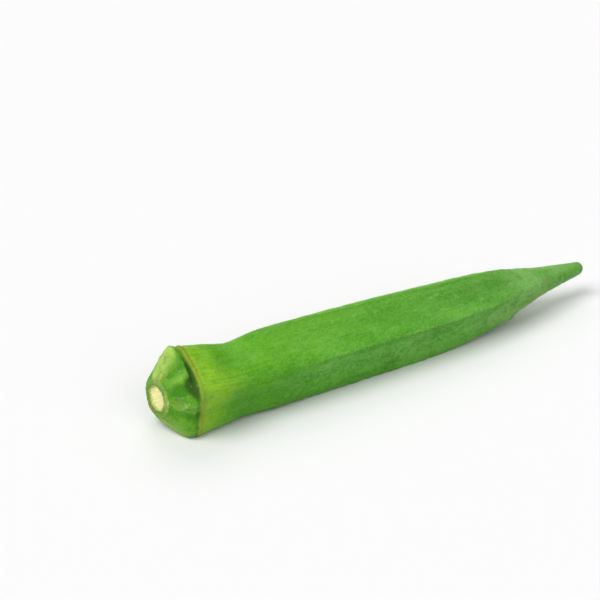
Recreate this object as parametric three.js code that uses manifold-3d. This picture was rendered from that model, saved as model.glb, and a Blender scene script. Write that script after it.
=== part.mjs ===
// A fresh okra pod, cut with a short stub of its stem and lying on one of its five faces.
//
// Millimetres, +Z up. +X runs from the cut stem to the tip, and the origin is on the surface that the
// pod lies on, below the middle of its box. The pod grew as one piece, so it is one solid: stem stub,
// lobed cap with its leaf scars, the ring left by the calyx, neck, five-ridged capsule and beak.
//
// A place on the skin has a station, its distance along the pod from the cut, and a direction round
// the pod's axis, from +Y towards +Z. The skin is a lathe whose vertices are moved to those places.

import * as THREE from "three";
import { mergeVertices } from "three/addons/utils/BufferGeometryUtils.js";
import Module from "manifold-3d";

// ---- Driving dimensions -------------------------------------------------------------------------

const LENGTH = 116.5;

// Directions of the five crests, in degrees. The third and fourth lie on the surface.
const CREST_DEG = [88, 160, 232, 308, 376];

// [station, distance from the axis to the crests]
const CREST_RADIUS = [
  [0.3, 4.6], [0.9, 5.7], [2, 7.4], [3.2, 8.9], [4.6, 9.95], [6, 10.3], [11, 9.8], [18.5, 8.7],
  [27, 9.3], [41, 9.15], [57, 8.95], [71, 8.5], [81.5, 7.65], [90, 6.45], [97, 4.9], [103, 3.45],
  [109, 2.5], [114.7, 1.65],
];
const TIP_ROUNDING = 1.8;

// [station, sharpness of the crests]: 4 is nearly round, 12 nearly a pentagon
const SHARPNESS = [
  [0, 4], [4.2, 5.5], [6, 10], [13, 7.5], [24, 6.5], [36, 9], [52, 12], [82, 12], [92, 9], [102, 5],
  [116, 4],
];

// [station, height of the axis] and [station, sideways place of the axis]
const AXIS_HEIGHT = [
  [0, 8], [2.5, 8.3], [6, 8.7], [18.5, 7.6], [28, 7.82], [41, 7.7], [57, 7.3], [72, 6.95], [96, 7.45],
  [116, 7.4],
];
const AXIS_BOW = [[0, 1.4], [6, 0.5], [27, 0.5], [57, 0.1], [87, -0.35], [116, -0.3]];

// [station, how far the middle of a face is sunken, as a share of the distance to the crests]
const FACE_HOLLOW = [[2, 0], [6, 0.07], [14, 0.04], [22, 0.04], [34, 0.07], [88, 0.07], [104, 0]];
const FACE_SPREAD = 0.36;

// A raised line runs along each crest of the capsule, fading out at the neck and the beak.
const CREST_LINE = { height: 0.22, halfWidth: 0.9, from: 26, to: 100, easing: 14 };

// The cut is a little slanted, with a shallow dish of pith inside the skin's rim.
const CUT = { slantDeg: 5, towardsDeg: 146, fadesAt: 3, dish: 0.3 };

// The cap's lobes stand on the crests, each of its own height, with hollows between them.
const LOBES = { station: 3.5, halfLength: 1.75, spread: 0.34, heights: [1.8, 0.3, 0.45, 0.5, 0.1] };
const HOLLOWS = {
  from: 0.4,
  to: 5.1,
  each: [
    { deg: 112, depth: 1.5, spread: 0.2 },
    { deg: 196, depth: 0.5, spread: 0.22 },
    { deg: 268, depth: 0.2, spread: 0.22 },
    { deg: 18, depth: 1.7, spread: 0.5 },
  ],
};

// The scar of the calyx: a raised double line round the rim that bows towards the tip across the
// faces and dips towards the stem near the second crest, and a groove on the side of the cap
const RING = {
  station: 6, height: 0.32, halfWidth: 0.5, second: 0.08, secondAt: 1.25,
  faceBows: [0.5, 0.15, 0.3, 0.4, 0.4], dip: 0.5, dipDeg: 164, dipSpread: 0.35,
};
const GROOVE = { before: 0.8, depth: 0.2, halfWidth: 0.55, faceDepths: [0.6, 0.15, 0.35, 0.55, 0.65] };

// Thumb-shaped scars of the small leaves round the stem
const SCARS = [
  { station: 1.4, deg: 168, halfLength: 1.15, halfWidth: 1.2, depth: 0.45 },
  { station: 0.9, deg: 104, halfLength: 0.6, halfWidth: 0.8, depth: 0.2 },
  { station: 2.4, deg: 310, halfLength: 1.4, halfWidth: 1.2, depth: 0.4 },
  { station: 2.2, deg: 38, halfLength: 1.2, halfWidth: 0.9, depth: 0.25 },
];
const SCAR_LIP = 0.2;

// A ridge between the cap's first two lobes with a dent behind it and another below it, a swelling
// under the stem, and a knot where the third crest runs out
const KNOTS = [
  { station: 2.9, deg: 127, height: 0.75, halfLength: 2.1, halfWidth: 1.6 },
  { station: 4.5, deg: 145, height: -0.95, halfLength: 1.25, halfWidth: 2.6 },
  { station: 2.3, deg: 146, height: -0.45, halfLength: 1.4, halfWidth: 1.5 },
  { station: 1.5, deg: 272, height: 0.35, halfLength: 1.4, halfWidth: 2.6 },
  { station: 92, deg: 232, height: 0.4, halfLength: 1.2, halfWidth: 1.2 },
];

// Mesh: columns round the pod, rings on the cut, [first station, last station, rows] along the pod
const COLUMNS = 60;
const CUT_RINGS = [
  { share: 0.32, sunk: CUT.dish },
  { share: 0.63, sunk: CUT.dish },
  { share: 0.73, sunk: 0 },
  { share: 0.93, sunk: 0 },
];
const ZONES = [[0.3, 8.2, 24], [9.2, 29, 9], [34, 84, 11], [88, 113.8, 13]];
const TIP_ROWS = 4;
// What is cut away below the surface, where the skin would give under the weight
const SURFACE_SLAB = { length: 200, width: 60, depth: 10 };

// ---- Curves -------------------------------------------------------------------------------------

const radians = THREE.MathUtils.degToRad;
const bell = (x) => Math.exp(-x * x);

/** Smooth curve through [x, y] points that never overshoots them, level past both ends. */
function curve(points, x) {
  const last = points.length - 1;
  if (x <= points[0][0]) return points[0][1];
  if (x >= points[last][0]) return points[last][1];
  const slope = (i) => (points[i + 1][1] - points[i][1]) / (points[i + 1][0] - points[i][0]);
  const tangent = (i) => {
    if (i === 0) return slope(0);
    if (i === last) return slope(last - 1);
    const before = slope(i - 1);
    const after = slope(i);
    return before * after <= 0 ? 0 : (2 * before * after) / (before + after);
  };
  const i = points.findIndex((point) => point[0] > x) - 1;
  const span = points[i + 1][0] - points[i][0];
  const t = (x - points[i][0]) / span;
  return (
    (1 + 2 * t) * (1 - t) ** 2 * points[i][1] + t * (1 - t) ** 2 * span * tangent(i) +
    t * t * (3 - 2 * t) * points[i + 1][1] + t * t * (t - 1) * span * tangent(i + 1)
  );
}

/** Rises from 0 to 1 between two stations. */
const rise = (from, to, x) => THREE.MathUtils.smoothstep(x, from, to);

/** The smaller angle between two directions in radians, with its sign. */
const turn = (a, b) => Math.atan2(Math.sin(a - b), Math.cos(a - b));

// ---- Cross-section ------------------------------------------------------------------------------

const CRESTS = CREST_DEG.map(radians);
const NEXT_CRESTS = [...CRESTS.slice(1), CRESTS[0] + 2 * Math.PI];
const FACES = CRESTS.map((crest, k) => (crest + NEXT_CRESTS[k]) / 2);
const EVEN = CRESTS.map(() => 1);

/** A pentagon with rounded crests, 1 at the crests. */
function pentagon(sharpness, direction) {
  const total = FACES.reduce((sum, face) => sum + Math.max(0, Math.cos(direction - face)) ** sharpness, 0);
  const crest = 2 * Math.cos(Math.PI / 5) ** sharpness;
  return (crest / total) ** (1 / sharpness);
}

/** Sum over the crests or faces, each weighted by how near the direction is to it. */
function around(centres, values, spread, direction) {
  return centres.reduce((sum, centre, k) => sum + values[k] * bell(turn(direction, centre) / spread), 0);
}

/** Sunken scar with a lip at its far end, as a height over the skin. */
function scarHeight(scar, station, direction, radius) {
  const along = (station - scar.station) / scar.halfLength;
  const across = (turn(direction, radians(scar.deg)) * radius) / scar.halfWidth;
  const reach = Math.hypot(along, across);
  const lip = SCAR_LIP * bell((reach - 1.15) / 0.3) * rise(-0.5, 0.8, along);
  return lip - scar.depth * (1 - rise(0.35, 1.05, reach));
}

/** Raised or sunken spot, as a height over the skin. */
function knotHeight(knot, station, direction, radius) {
  const across = (turn(direction, radians(knot.deg)) * radius) / knot.halfWidth;
  return knot.height * bell((station - knot.station) / knot.halfLength) * bell(across);
}

/** Height of the lobes and hollows of the cap, and of the calyx scar with its groove. */
function capHeight(station, direction) {
  const lobes = around(CRESTS, LOBES.heights, LOBES.spread, direction);
  const { from, to, each } = HOLLOWS;
  const hollows = each.reduce(
    (sum, { deg, depth, spread }) => sum + depth * bell(turn(direction, radians(deg)) / spread), 0,
  );
  const hollowed = rise(from, from + 2.2, station) * (1 - rise(to - 1.2, to + 0.5, station));
  const dip = RING.dip * bell(turn(direction, radians(RING.dipDeg)) / RING.dipSpread);
  const bow = around(FACES, RING.faceBows, FACE_SPREAD, direction);
  const past = station - RING.station - bow + dip;
  const grooveDepth = GROOVE.depth + around(FACES, GROOVE.faceDepths, FACE_SPREAD, direction);
  return (
    lobes * bell((station - LOBES.station) / LOBES.halfLength) - hollows * hollowed -
    grooveDepth * bell((past + GROOVE.before) / GROOVE.halfWidth) +
    RING.height * bell(past / RING.halfWidth) +
    RING.second * bell((past - RING.secondAt) / RING.halfWidth)
  );
}

/** Height of the raised lines along the crests. */
function lineHeight(station, direction, radius) {
  const { height, halfWidth, from, to, easing } = CREST_LINE;
  const lined = rise(from, from + easing, station) * (1 - rise(to - easing, to, station));
  return height * lined * around(CRESTS, EVEN, halfWidth / radius, direction);
}

/** Distance from the axis to the skin. */
function skinRadius(station, direction) {
  const crest = curve(CREST_RADIUS, station);
  const tip = Math.max(0, (station - LENGTH) / TIP_ROUNDING + 1);
  const hollow = curve(FACE_HOLLOW, station) * around(FACES, EVEN, FACE_SPREAD, direction);
  let radius = crest * (pentagon(curve(SHARPNESS, station), direction) - hollow) * Math.sqrt(1 - tip * tip);
  radius += lineHeight(station, direction, crest) + capHeight(station, direction);
  for (const scar of SCARS) radius += scarHeight(scar, station, direction, crest);
  for (const knot of KNOTS) radius += knotHeight(knot, station, direction, crest);
  return radius;
}

// ---- Skin ---------------------------------------------------------------------------------------

/** Direction of a column: the columns stand closer together at the crests. */
function columnDirection(column) {
  const place = ((column % COLUMNS) * CRESTS.length) / COLUMNS;
  const k = Math.floor(place);
  const share = place - k;
  const eased = share - (0.35 * Math.sin(2 * Math.PI * share)) / (2 * Math.PI);
  return THREE.MathUtils.lerp(CRESTS[k], NEXT_CRESTS[k], eased);
}

/** Rows from the middle of the cut to the tip: a station, a share of the radius there, and a depth. */
function skinRows() {
  const cut = ZONES[0][0];
  const rows = [{ station: cut, share: 0, sunk: CUT.dish - cut }];
  for (const { share, sunk } of CUT_RINGS) rows.push({ station: cut, share, sunk: sunk - cut });
  for (const [from, to, count] of ZONES) {
    for (let i = 0; i < count; i += 1) {
      rows.push({ station: THREE.MathUtils.lerp(from, to, i / (count - 1)), share: 1, sunk: 0 });
    }
  }
  for (let i = 0; i < TIP_ROWS; i += 1) {
    const bend = ((i / TIP_ROWS) * Math.PI) / 2;
    rows.push({ station: LENGTH - TIP_ROUNDING * (1 - Math.sin(bend)), share: 1, sunk: 0 });
  }
  rows.push({ station: LENGTH, share: 0, sunk: 0 });
  return rows;
}

/** Place of a row's vertex in the given direction. */
function skinPoint({ station, share, sunk }, direction) {
  const radius = share === 0 ? 0 : share * skinRadius(station, direction);
  const slant = Math.tan(radians(CUT.slantDeg)) * (1 - rise(0.5, CUT.fadesAt, station));
  return new THREE.Vector3(
    station + sunk + slant * radius * Math.cos(direction - radians(CUT.towardsDeg)),
    curve(AXIS_BOW, station) + radius * Math.cos(direction),
    curve(AXIS_HEIGHT, station) + radius * Math.sin(direction),
  );
}

/** The closed skin: a lathe of the rows, with each vertex moved to its place. */
function skinGeometry() {
  const rows = skinRows();
  const profile = rows.map(({ station, share }) => new THREE.Vector2(share, station));
  const lathe = new THREE.LatheGeometry(profile, COLUMNS);
  lathe.deleteAttribute("normal");
  lathe.deleteAttribute("uv");
  const position = lathe.attributes.position;
  for (let column = 0; column <= COLUMNS; column += 1) {
    const direction = columnDirection(column);
    rows.forEach((row, i) => {
      const point = skinPoint(row, direction);
      position.setXYZ(column * rows.length + i, point.x, point.y, point.z);
    });
  }
  return mergeVertices(lathe, 1e-4);
}

// ---- Solid --------------------------------------------------------------------------------------

const wasm = await Module();
wasm.setup();

/** A manifold solid of a closed geometry. */
function solidOf(geometry) {
  return new wasm.Manifold(
    new wasm.Mesh({
      numProp: 3,
      vertProperties: new Float32Array(geometry.attributes.position.array),
      triVerts: new Uint32Array(geometry.index.array),
    }),
  );
}

/** The geometry of a manifold solid. */
function geometryOf(solid) {
  const mesh = solid.getMesh();
  const geometry = new THREE.BufferGeometry();
  geometry.setAttribute("position", new THREE.BufferAttribute(mesh.vertProperties, 3));
  geometry.setIndex(new THREE.BufferAttribute(mesh.triVerts, 1));
  return geometry;
}

/** The pod, with its two lower crests pressed flat where they carry it. */
function podGeometry() {
  const { length, width, depth } = SURFACE_SLAB;
  const slab = new THREE.BoxGeometry(length, width, depth);
  slab.deleteAttribute("normal");
  slab.deleteAttribute("uv");
  slab.translate(LENGTH / 2, 0, -depth / 2);
  const geometry = geometryOf(solidOf(skinGeometry()).subtract(solidOf(mergeVertices(slab))));
  geometry.computeBoundingBox();
  const middle = geometry.boundingBox.getCenter(new THREE.Vector3());
  geometry.translate(-middle.x, -middle.y, 0);
  geometry.computeVertexNormals();
  return geometry;
}

const skinMaterial = new THREE.MeshStandardMaterial({ color: 0x5fa233, roughness: 0.55, metalness: 0 });

const okraPod = new THREE.Mesh(podGeometry(), skinMaterial);
okraPod.name = "okra_pod";

const okra = new THREE.Group();
okra.add(okraPod);

export default okra;
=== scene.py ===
"""Okra pod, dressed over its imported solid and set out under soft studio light.

Shapes are worked out in millimetres and laid down in metres. +Z is up and +X runs from the cut stem
to the tip. A place on the skin has a station, its distance along the pod from the cut, and a
direction round the pod's axis, in radians from +Y towards +Z.
"""

import logging
import math
from collections.abc import Iterable, Sequence
from dataclasses import dataclass
from enum import Enum
from typing import Any

import bpy
import numpy as np
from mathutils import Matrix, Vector

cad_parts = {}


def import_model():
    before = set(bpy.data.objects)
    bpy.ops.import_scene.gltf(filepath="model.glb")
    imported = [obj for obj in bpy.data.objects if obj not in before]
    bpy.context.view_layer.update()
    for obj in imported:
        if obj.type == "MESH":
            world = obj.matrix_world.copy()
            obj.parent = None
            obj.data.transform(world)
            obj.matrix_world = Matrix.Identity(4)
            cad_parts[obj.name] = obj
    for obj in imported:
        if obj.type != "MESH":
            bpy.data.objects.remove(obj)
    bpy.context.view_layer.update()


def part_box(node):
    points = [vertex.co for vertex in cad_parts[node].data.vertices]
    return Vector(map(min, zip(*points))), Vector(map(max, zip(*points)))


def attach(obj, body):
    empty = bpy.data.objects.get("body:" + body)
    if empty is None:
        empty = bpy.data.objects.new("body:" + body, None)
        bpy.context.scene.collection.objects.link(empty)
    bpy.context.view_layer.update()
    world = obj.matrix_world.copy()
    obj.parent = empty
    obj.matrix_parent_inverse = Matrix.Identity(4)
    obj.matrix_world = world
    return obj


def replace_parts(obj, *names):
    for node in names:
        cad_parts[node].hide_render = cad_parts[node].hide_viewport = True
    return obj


MM = 0.001
NODE = "okra_pod"
BODY = "root"
BAKE_MAP = "OFBake"
EVEN = (1, 1, 1, 1, 1)

Colour = tuple[float, float, float]
Span = tuple[float, float]
Array = np.ndarray


class Slot(Enum):
    """The record's material slots."""

    SKIN = "pod_skin"
    PITH = "cut_pith"
    HAIRS = "pod_hairs"


# ---- Curves ----


def bell(x: Array) -> Array:
    """A smooth hump, 1 where x is 0."""
    return np.exp(-x * x)


def rise(low: Array | float, high: Array | float, x: Array) -> Array:
    """Rises smoothly from 0 at low to 1 at high."""
    share = np.clip((x - low) / (high - low), 0, 1)
    return share * share * (3 - 2 * share)


def turn(first: Array | float, second: Array | float) -> Array:
    """The smaller angle from the second direction to the first, with its sign."""
    return np.arctan2(np.sin(first - second), np.cos(first - second))


def humps(direction: Array, middles: Array, spread: Array | float, heights: Sequence[float]) -> Array:
    """The sum of humps, one at each of the middles, with their half width in radians."""
    return sum(h * bell(turn(direction, m) / spread) for h, m in zip(heights, middles, strict=True))


def unit(vectors: Array) -> Array:
    """The vectors, each at a length of 1."""
    return vectors / np.linalg.norm(vectors, axis=-1, keepdims=True)


@dataclass(frozen=True)
class Curve:
    """A smooth curve through points that never overshoots them, level past both ends."""

    points: tuple[tuple[float, float], ...]

    def __call__(self, x: Array) -> Array:
        """Height of the curve.

        Args:
            x: Places along the curve.

        Returns:
            The height at each place.
        """
        px, py = np.array(self.points).T
        gap = np.diff(px)
        slope = np.diff(py) / gap
        before, after = slope[:-1], slope[1:]
        both = np.where(before * after > 0, before + after, 1)
        inner = np.where(before * after > 0, 2 * before * after / both, 0)
        tangent = np.concatenate([slope[:1], inner, slope[-1:]])
        x = np.clip(x, px[0], px[-1])
        k = np.clip(np.searchsorted(px, x, side="right") - 1, 0, len(gap) - 1)
        t = (x - px[k]) / gap[k]
        return (
            (1 + 2 * t) * (1 - t) ** 2 * py[k]
            + t * (1 - t) ** 2 * gap[k] * tangent[k]
            + t * t * (3 - 2 * t) * py[k + 1]
            + t * t * (t - 1) * gap[k] * tangent[k + 1]
        )


@dataclass(frozen=True)
class Ripples:
    """Seeded unevenness of about one size, made of many waves in all directions."""

    seed: int
    pitch: Sequence[float]
    waves: int = 40

    def __call__(self, *places: Array) -> Array:
        """Height of the unevenness.

        Args:
            *places: One array for each coordinate, as many as there are pitches.

        Returns:
            Heights that spread about evenly round 0, seldom past 2.
        """
        draw = np.random.default_rng(self.seed)
        total = np.zeros(np.broadcast(*places).shape)
        for _ in range(self.waves):
            way = draw.normal(size=len(self.pitch))
            way *= draw.uniform(0.75, 1.25) / np.linalg.norm(way)
            phase = draw.uniform(0, 2 * math.pi)
            swing = sum(w * p / size for w, p, size in zip(way, places, self.pitch, strict=True))
            total += np.cos(2 * math.pi * swing + phase)
        return total * math.sqrt(2 / self.waves)


@dataclass(frozen=True)
class Spots:
    """Places on the skin: stations, directions, and how far the crests are from the axis there."""

    station: Array
    direction: Array
    radius: Array

    def beside(self, degrees: float, spread: float) -> Array:
        """How near the places are to one side of the pod, from 0 to 1."""
        return bell(turn(self.direction, math.radians(degrees)) / spread)

    def within(self, begins: Span, ends: Span) -> Array:
        """1 along a stretch of the pod, eased over the span where it begins and the one where it ends."""
        return rise(*begins, self.station) * (1 - rise(*ends, self.station))


# ---- The pod's form ----


@dataclass(frozen=True)
class Crests:
    """The pod's five crests and the faces between them, as directions."""

    degrees: tuple[float, ...] = (88, 160, 232, 308, 376)
    face_spread: float = 0.36
    crowding: float = 0.35

    @property
    def places(self) -> Array:
        """Directions of the crests."""
        return np.radians(self.degrees)

    @property
    def following(self) -> Array:
        """Direction of the crest after each crest."""
        return np.append(self.places[1:], self.places[0] + 2 * math.pi)

    @property
    def faces(self) -> Array:
        """Directions of the middles of the faces."""
        return (self.places + self.following) / 2

    def pentagon(self, sharpness: Array, direction: Array) -> Array:
        """Distance to a pentagon, 1 at its crests. At a sharpness of 4 it is nearly round."""
        total = sum(np.maximum(0, np.cos(direction - face)) ** sharpness for face in self.faces)
        return (2 * math.cos(math.pi / 5) ** sharpness / total) ** (1 / sharpness)

    def near(self, direction: Array, spread: Array | float, heights: Sequence[float] = EVEN) -> Array:
        """The sum of humps along the crests, with their half width in radians."""
        return humps(direction, self.places, spread, heights)

    def between(self, direction: Array, heights: Sequence[float] = EVEN) -> Array:
        """The sum of broad humps along the middles of the faces."""
        return humps(direction, self.faces, self.face_spread, heights)

    def columns(self, count: int) -> Array:
        """Directions of a mesh's columns, closer together at the crests.

        Args:
            count: Columns round the pod.

        Returns:
            The directions, in order from the first crest.
        """
        place = np.arange(count) * len(self.degrees) / count
        k = place.astype(int)
        share = place - k
        eased = share - self.crowding * np.sin(2 * math.pi * share) / (2 * math.pi)
        return self.places[k] * (1 - eased) + self.following[k] * eased

    def face_share(self, direction: Array) -> Array:
        """How far a direction is across its face.

        Args:
            direction: Directions round the axis.

        Returns:
            The share, from 0 at one crest to 1 at the next.
        """
        past = np.mod(direction - self.places[0], 2 * math.pi)
        starts = self.places - self.places[0]
        k = np.searchsorted(starts, past, side="right") - 1
        return (past - starts[k]) / (self.following - self.places)[k]


@dataclass(frozen=True)
class Feature:
    """Something small that stands out from the skin or is sunk in it."""

    station: float
    degrees: float
    half_length: float
    half_width: float

    def offsets(self, at: Spots) -> tuple[Array, Array]:
        """Distances from its middle along the pod and round it, each 1 at its edge."""
        across = turn(at.direction, math.radians(self.degrees)) * at.radius / self.half_width
        return (at.station - self.station) / self.half_length, across


@dataclass(frozen=True)
class Scar(Feature):
    """A thumb-shaped sunken scar of a small leaf, with a lip at its far end."""

    depth: float
    lip: float = 0.2
    floor_edge: Span = (0.35, 1.05)
    lip_reach: float = 1.15
    lip_half_width: float = 0.3

    def lipped(self, at: Spots) -> Array:
        """Where the lip is, from 0 to 1."""
        along, across = self.offsets(at)
        return bell((np.hypot(along, across) - self.lip_reach) / self.lip_half_width) * rise(-0.5, 0.8, along)

    def sunken(self, at: Spots) -> Array:
        """Where the floor of the scar is, from 0 to 1."""
        return 1 - rise(*self.floor_edge, np.hypot(*self.offsets(at)))

    def height(self, at: Spots) -> Array:
        """Height of the scar and its lip over the skin."""
        return self.lip * self.lipped(at) - self.depth * self.sunken(at)


@dataclass(frozen=True)
class Knot(Feature):
    """A raised spot on the skin, or a dent where its peak is negative."""

    peak: float

    def height(self, at: Spots) -> Array:
        """Height of the spot over the skin."""
        along, across = self.offsets(at)
        return self.peak * bell(along) * bell(across)


@dataclass(frozen=True)
class Hollow:
    """A hollow between two lobes of the cap."""

    degrees: float
    depth: float
    spread: float


@dataclass(frozen=True)
class Cap:
    """The lobed cap round the stem, with its leaf scars and the ring that the calyx left."""

    crests: Crests = Crests()
    lobe_station: float = 3.5
    lobe_half_length: float = 1.75
    lobe_spread: float = 0.34
    lobe_heights: tuple[float, ...] = (1.8, 0.3, 0.45, 0.5, 0.1)
    hollow_begins: Span = (0.4, 2.6)
    hollow_ends: Span = (3.9, 5.6)
    hollows: tuple[Hollow, ...] = (
        Hollow(112, 1.5, 0.2), Hollow(196, 0.5, 0.22), Hollow(268, 0.2, 0.22), Hollow(18, 1.7, 0.5),
    )
    ring_station: float = 6
    ring_height: float = 0.32
    ring_half_width: float = 0.5
    ring_bows: tuple[float, ...] = (0.5, 0.15, 0.3, 0.4, 0.4)
    ring_dip: float = 0.5
    dip_degrees: float = 164
    dip_spread: float = 0.35
    second_height: float = 0.08
    second_gap: float = 1.25
    second_dryness: float = 0.3
    dry_past: float = 0.15
    fringe_dryness: float = 0.45
    fringe_before: float = 0.9
    fringe_half_width: float = 0.8
    fringe_spread: float = 0.22
    groove_before: float = 0.8
    groove_depth: float = 0.2
    groove_half_width: float = 0.55
    groove_depths: tuple[float, ...] = (0.6, 0.15, 0.35, 0.55, 0.65)
    scars: tuple[Scar, ...] = (
        Scar(1.4, 168, 1.15, 1.2, 0.45), Scar(0.9, 104, 0.6, 0.8, 0.2),
        Scar(2.4, 310, 1.4, 1.2, 0.4), Scar(2.2, 38, 1.2, 0.9, 0.25),
    )

    def past_ring(self, at: Spots) -> Array:
        """Distance past the ring, which bows to the tip on the faces and dips to the stem at one side."""
        dip = self.ring_dip * at.beside(self.dip_degrees, self.dip_spread)
        return at.station - self.ring_station - self.crests.between(at.direction, self.ring_bows) + dip

    def ringed(self, at: Spots) -> Array:
        """Where the ring is dry, with a fringe before it on the first crest.

        Args:
            at: Places on the skin.

        Returns:
            How dry each place is, from 0 to 1.
        """
        past = self.past_ring(at)
        second = self.second_dryness * bell((past - self.second_gap) / self.ring_half_width)
        fringe = self.fringe_dryness * bell((past + self.fringe_before) / self.fringe_half_width)
        fringe = fringe * at.beside(self.crests.degrees[0], self.fringe_spread)
        return np.minimum(1, bell((past - self.dry_past) / self.ring_half_width) + second + fringe)

    def grooved(self, at: Spots) -> Array:
        """The groove beside the ring, deeper between the crests.

        Args:
            at: Places on the skin.

        Returns:
            The depth at each place.
        """
        past = self.past_ring(at) + self.groove_before
        deep = self.groove_depth + self.crests.between(at.direction, self.groove_depths)
        return bell(past / self.groove_half_width) * deep

    def hollowed(self, at: Spots) -> Array:
        """Depth of the hollows between the lobes."""
        deep = sum(hollow.depth * at.beside(hollow.degrees, hollow.spread) for hollow in self.hollows)
        return deep * at.within(self.hollow_begins, self.hollow_ends)

    def lobed(self, at: Spots) -> Array:
        """Height of the lobes."""
        along = bell((at.station - self.lobe_station) / self.lobe_half_length)
        return along * self.crests.near(at.direction, self.lobe_spread, self.lobe_heights)

    def height(self, at: Spots) -> Array:
        """Height of the cap's forms over the skin.

        Args:
            at: Places on the skin.

        Returns:
            The height at each place.
        """
        past = self.past_ring(at)
        first = self.ring_height * bell(past / self.ring_half_width)
        second = self.second_height * bell((past - self.second_gap) / self.ring_half_width)
        scars = sum(scar.height(at) for scar in self.scars)
        return self.lobed(at) - self.hollowed(at) - self.grooved(at) + first + second + scars


@dataclass(frozen=True)
class Relief:
    """The fine forms of the skin: veins, seeds under the faces, and the cap's rough fibres."""

    crests: Crests = Crests()
    cap_ends: Span = (5.0, 6.4)
    neck: tuple[Span, Span] = ((6.6, 8), (12, 24))
    body: tuple[Span, Span] = ((9, 20), (104, 113))
    seeded: tuple[Span, Span] = ((17, 25), (78, 92))
    vein_shares: tuple[float, ...] = (0.14, 0.27, 0.4, 0.52, 0.63, 0.75, 0.87)
    vein_height: float = 0.05
    vein_half_share: float = 0.035
    seed_shares: tuple[float, ...] = (0.33, 0.67)
    seed_half_share: float = 0.15
    seed_pitch: float = 5.2
    seed_height: float = 0.07
    crest_wear: float = 0.05
    worn_half_width: float = 0.9
    cap_roughness: float = 0.055
    neck_ribs: float = 0.018
    pores: float = 0.016

    def veins(self, at: Spots) -> Array:
        """Where the fine veins along the faces are.

        Args:
            at: Places on the skin.

        Returns:
            How strongly each place shows them.
        """
        share = self.crests.face_share(at.direction)
        drift = 0.02 * Ripples(11, (30.0, 0.9))(at.station, at.direction)
        strength = 0.65 + 0.35 * Ripples(12, (22.0, 0.35))(at.station, at.direction)
        lines = sum(bell((share + drift - vein) / self.vein_half_share) for vein in self.vein_shares)
        return lines * np.clip(strength, 0, 1.3)

    def seeds(self, at: Spots) -> Array:
        """Low swellings where the seeds press on the faces from inside.

        Args:
            at: Places on the skin.

        Returns:
            How strongly each place shows them.
        """
        share = self.crests.face_share(at.direction)
        total = np.zeros(share.shape)
        for row, middle in enumerate(self.seed_shares):
            beat = np.cos(2 * math.pi * (at.station / self.seed_pitch + row / 2)) ** 2
            total += beat * bell((share - middle) / self.seed_half_share)
        uneven = 0.7 + 0.3 * Ripples(13, (17.0, 0.8))(at.station, at.direction)
        return total * at.within(*self.seeded) * uneven

    def height(self, at: Spots) -> Array:
        """Height of the fine forms over the skin.

        Args:
            at: Places on the skin.

        Returns:
            The height at each place.
        """
        skin = at.station, at.radius * np.cos(at.direction), at.radius * np.sin(at.direction)
        body = at.within(*self.body)
        crest = self.crests.near(at.direction, self.worn_half_width / at.radius)
        rough = 0.7 * Ripples(14, (4.0, 0.85, 0.85))(*skin) + 0.55 * Ripples(15, (0.75, 0.75, 0.75))(*skin)
        return (
            self.vein_height * self.veins(at) * body
            + self.seed_height * self.seeds(at)
            + self.crest_wear * crest * body * Ripples(16, (2.4, 4.0, 4.0))(*skin)
            + self.cap_roughness * (1 - rise(*self.cap_ends, at.station)) * rough
            + self.neck_ribs * at.within(*self.neck) * Ripples(17, (24.0, 0.16))(at.station, at.direction)
            + self.pores * Ripples(18, (1.3, 0.8, 0.8))(*skin)
        )


@dataclass(frozen=True)
class Cut:
    """The cut through the stem: a little slanted, with a shallow dish of pith inside the rim."""

    slant_degrees: float = 5
    towards_degrees: float = 146
    fades: Span = (0.5, 3)
    station: float = 0.3
    depth: Curve = Curve(((0, 0.3), (0.45, 0.31), (0.56, 0.27), (0.67, 0.02), (0.93, 0.0), (1.0, 0.3)))

    def lean(self, at: Spots, radius: Array) -> Array:
        """How far a place near the cut is carried along the pod by the slant."""
        slope = math.tan(math.radians(self.slant_degrees)) * (1 - rise(*self.fades, at.station))
        return slope * radius * np.cos(at.direction - math.radians(self.towards_degrees))


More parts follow.
